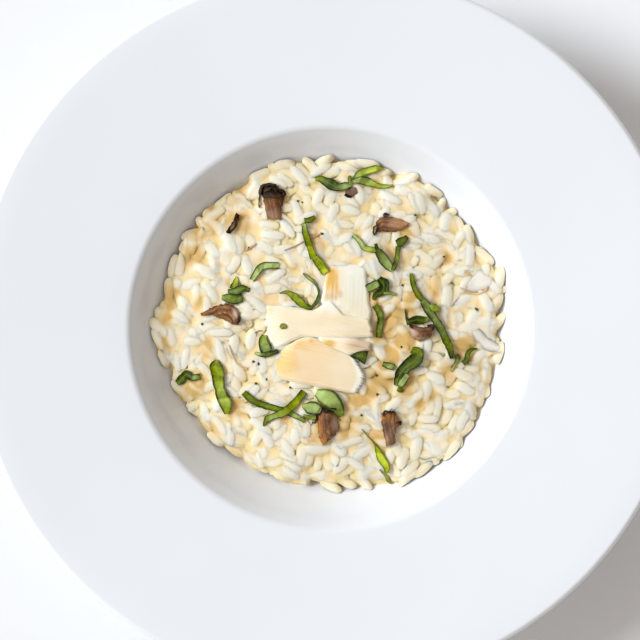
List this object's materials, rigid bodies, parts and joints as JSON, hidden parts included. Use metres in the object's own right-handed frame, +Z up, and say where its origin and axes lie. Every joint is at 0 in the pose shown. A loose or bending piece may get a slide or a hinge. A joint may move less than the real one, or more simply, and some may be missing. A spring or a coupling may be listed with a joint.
{
  "type": "wild mushroom risotto in a wide-rimmed pasta bowl",
  "caption": "Creamy risotto heaped in the well of a wide-rimmed white pasta bowl, with thin cheese shavings, brown mushroom pieces and basil strips on top.",
  "frame": {"origin": "centre of the foot ring's resting plane, on the bowl's axis", "axes": "+Z up along the bowl's axis; +Y to the top of the picture, +X to its right"},
  "size_m": [0.28, 0.28, 0.0459],
  "materials": {
    "porcelain": "white glazed porcelain",
    "risotto": "moist pearly rice grains in a cream sauce",
    "cheese": "pale waxy hard cheese with fine blade lines",
    "mushroom": "brown wrinkled mushroom with a near-black edge",
    "pale_mushroom": "pale cooked mushroom flesh with a thin brown edge",
    "basil": "moist green leaf strips with a paler underside",
    "pepper": "ground black pepper"
  },
  "bodies": {
    "root": {"bowl": "porcelain", "risotto": "risotto", "cheese_shaving_upper": "cheese", "cheese_shaving_middle": "cheese", "cheese_shaving_lower": "cheese", "cheese_shaving_under": "cheese", "mushroom_piece_1": "mushroom", "mushroom_piece_2": "mushroom", "mushroom_piece_3": "mushroom", "mushroom_piece_4": "mushroom", "mushroom_piece_5": "mushroom", "mushroom_piece_6": "mushroom", "mushroom_sliver": "mushroom", "pale_slice_right": "pale_mushroom", "pale_slice_spike": "pale_mushroom", "pale_slice_left": "pale_mushroom"}
  },
  "joints": []
}
